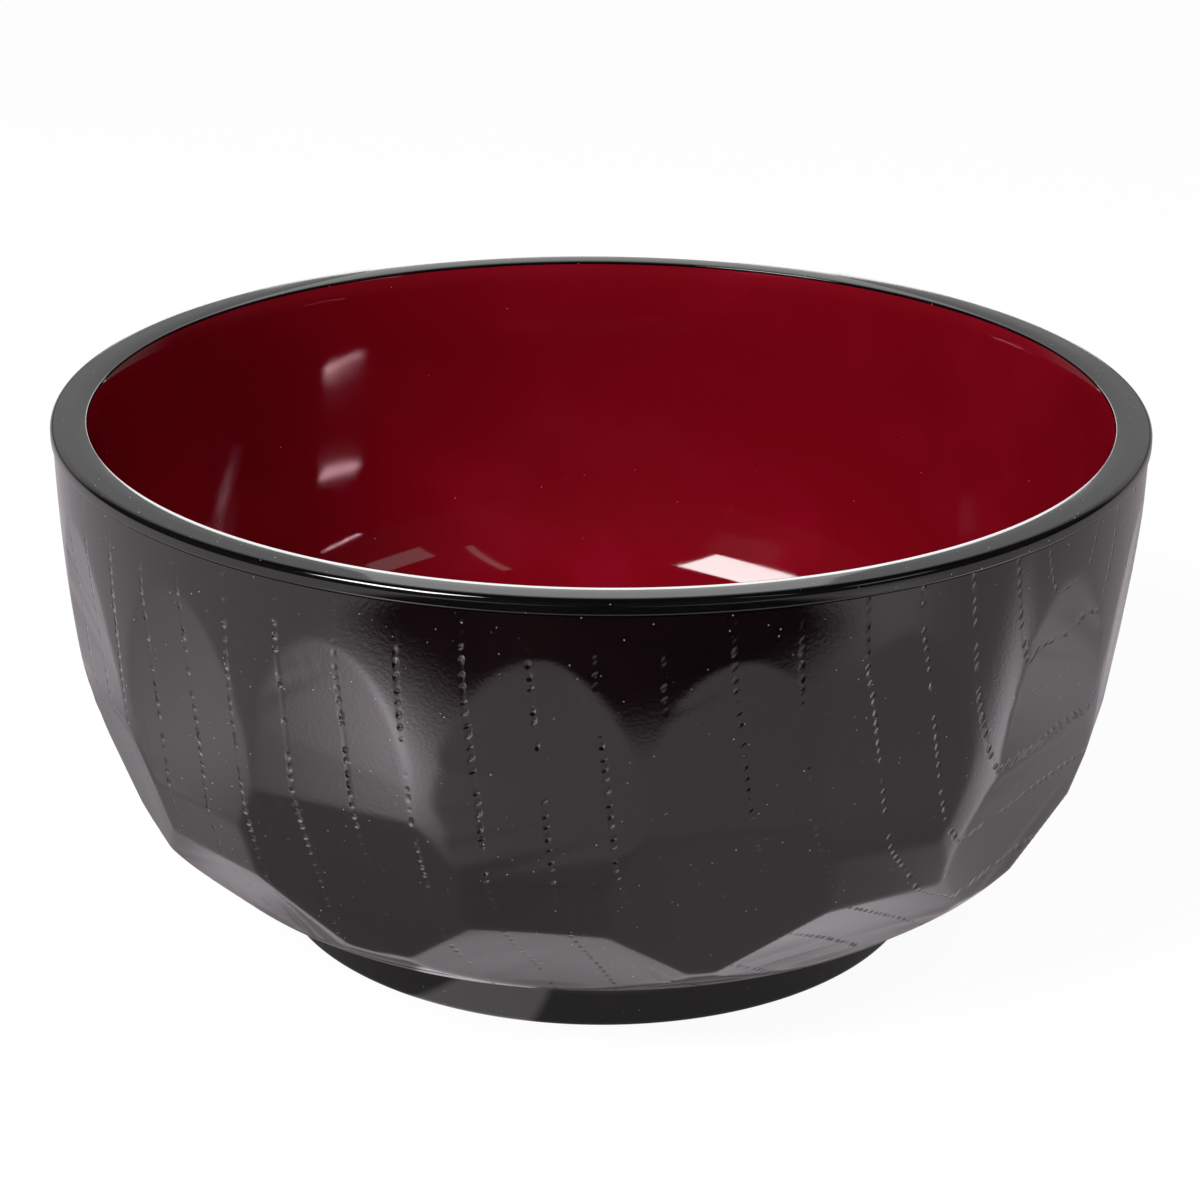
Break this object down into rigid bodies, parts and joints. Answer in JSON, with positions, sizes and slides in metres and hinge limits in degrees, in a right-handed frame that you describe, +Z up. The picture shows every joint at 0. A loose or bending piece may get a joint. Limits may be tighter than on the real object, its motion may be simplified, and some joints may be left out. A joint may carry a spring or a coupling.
{
  "type": "miso soup bowl",
  "caption": "Lacquered soup bowl with a facet-carved black cup, a red lining, a smooth rounded black lip and a turned foot ring, for serving hot soup by hand.",
  "frame": {"origin": "on the table, under the middle of the foot ring", "axes": "+Z up along the bowl's axis, -Y towards the viewer of the picture"},
  "size_m": [0.12, 0.12, 0.058],
  "materials": {
    "black_lacquer": "high-gloss black lacquer over a moulded core, with fine wood-like pores on the cup",
    "red_lacquer": "high-gloss deep red lacquer"
  },
  "bodies": {
    "root": {"bowl_body": "black_lacquer", "red_lining": "red_lacquer", "rim_band": "black_lacquer", "foot_ring": "black_lacquer"}
  },
  "joints": []
}
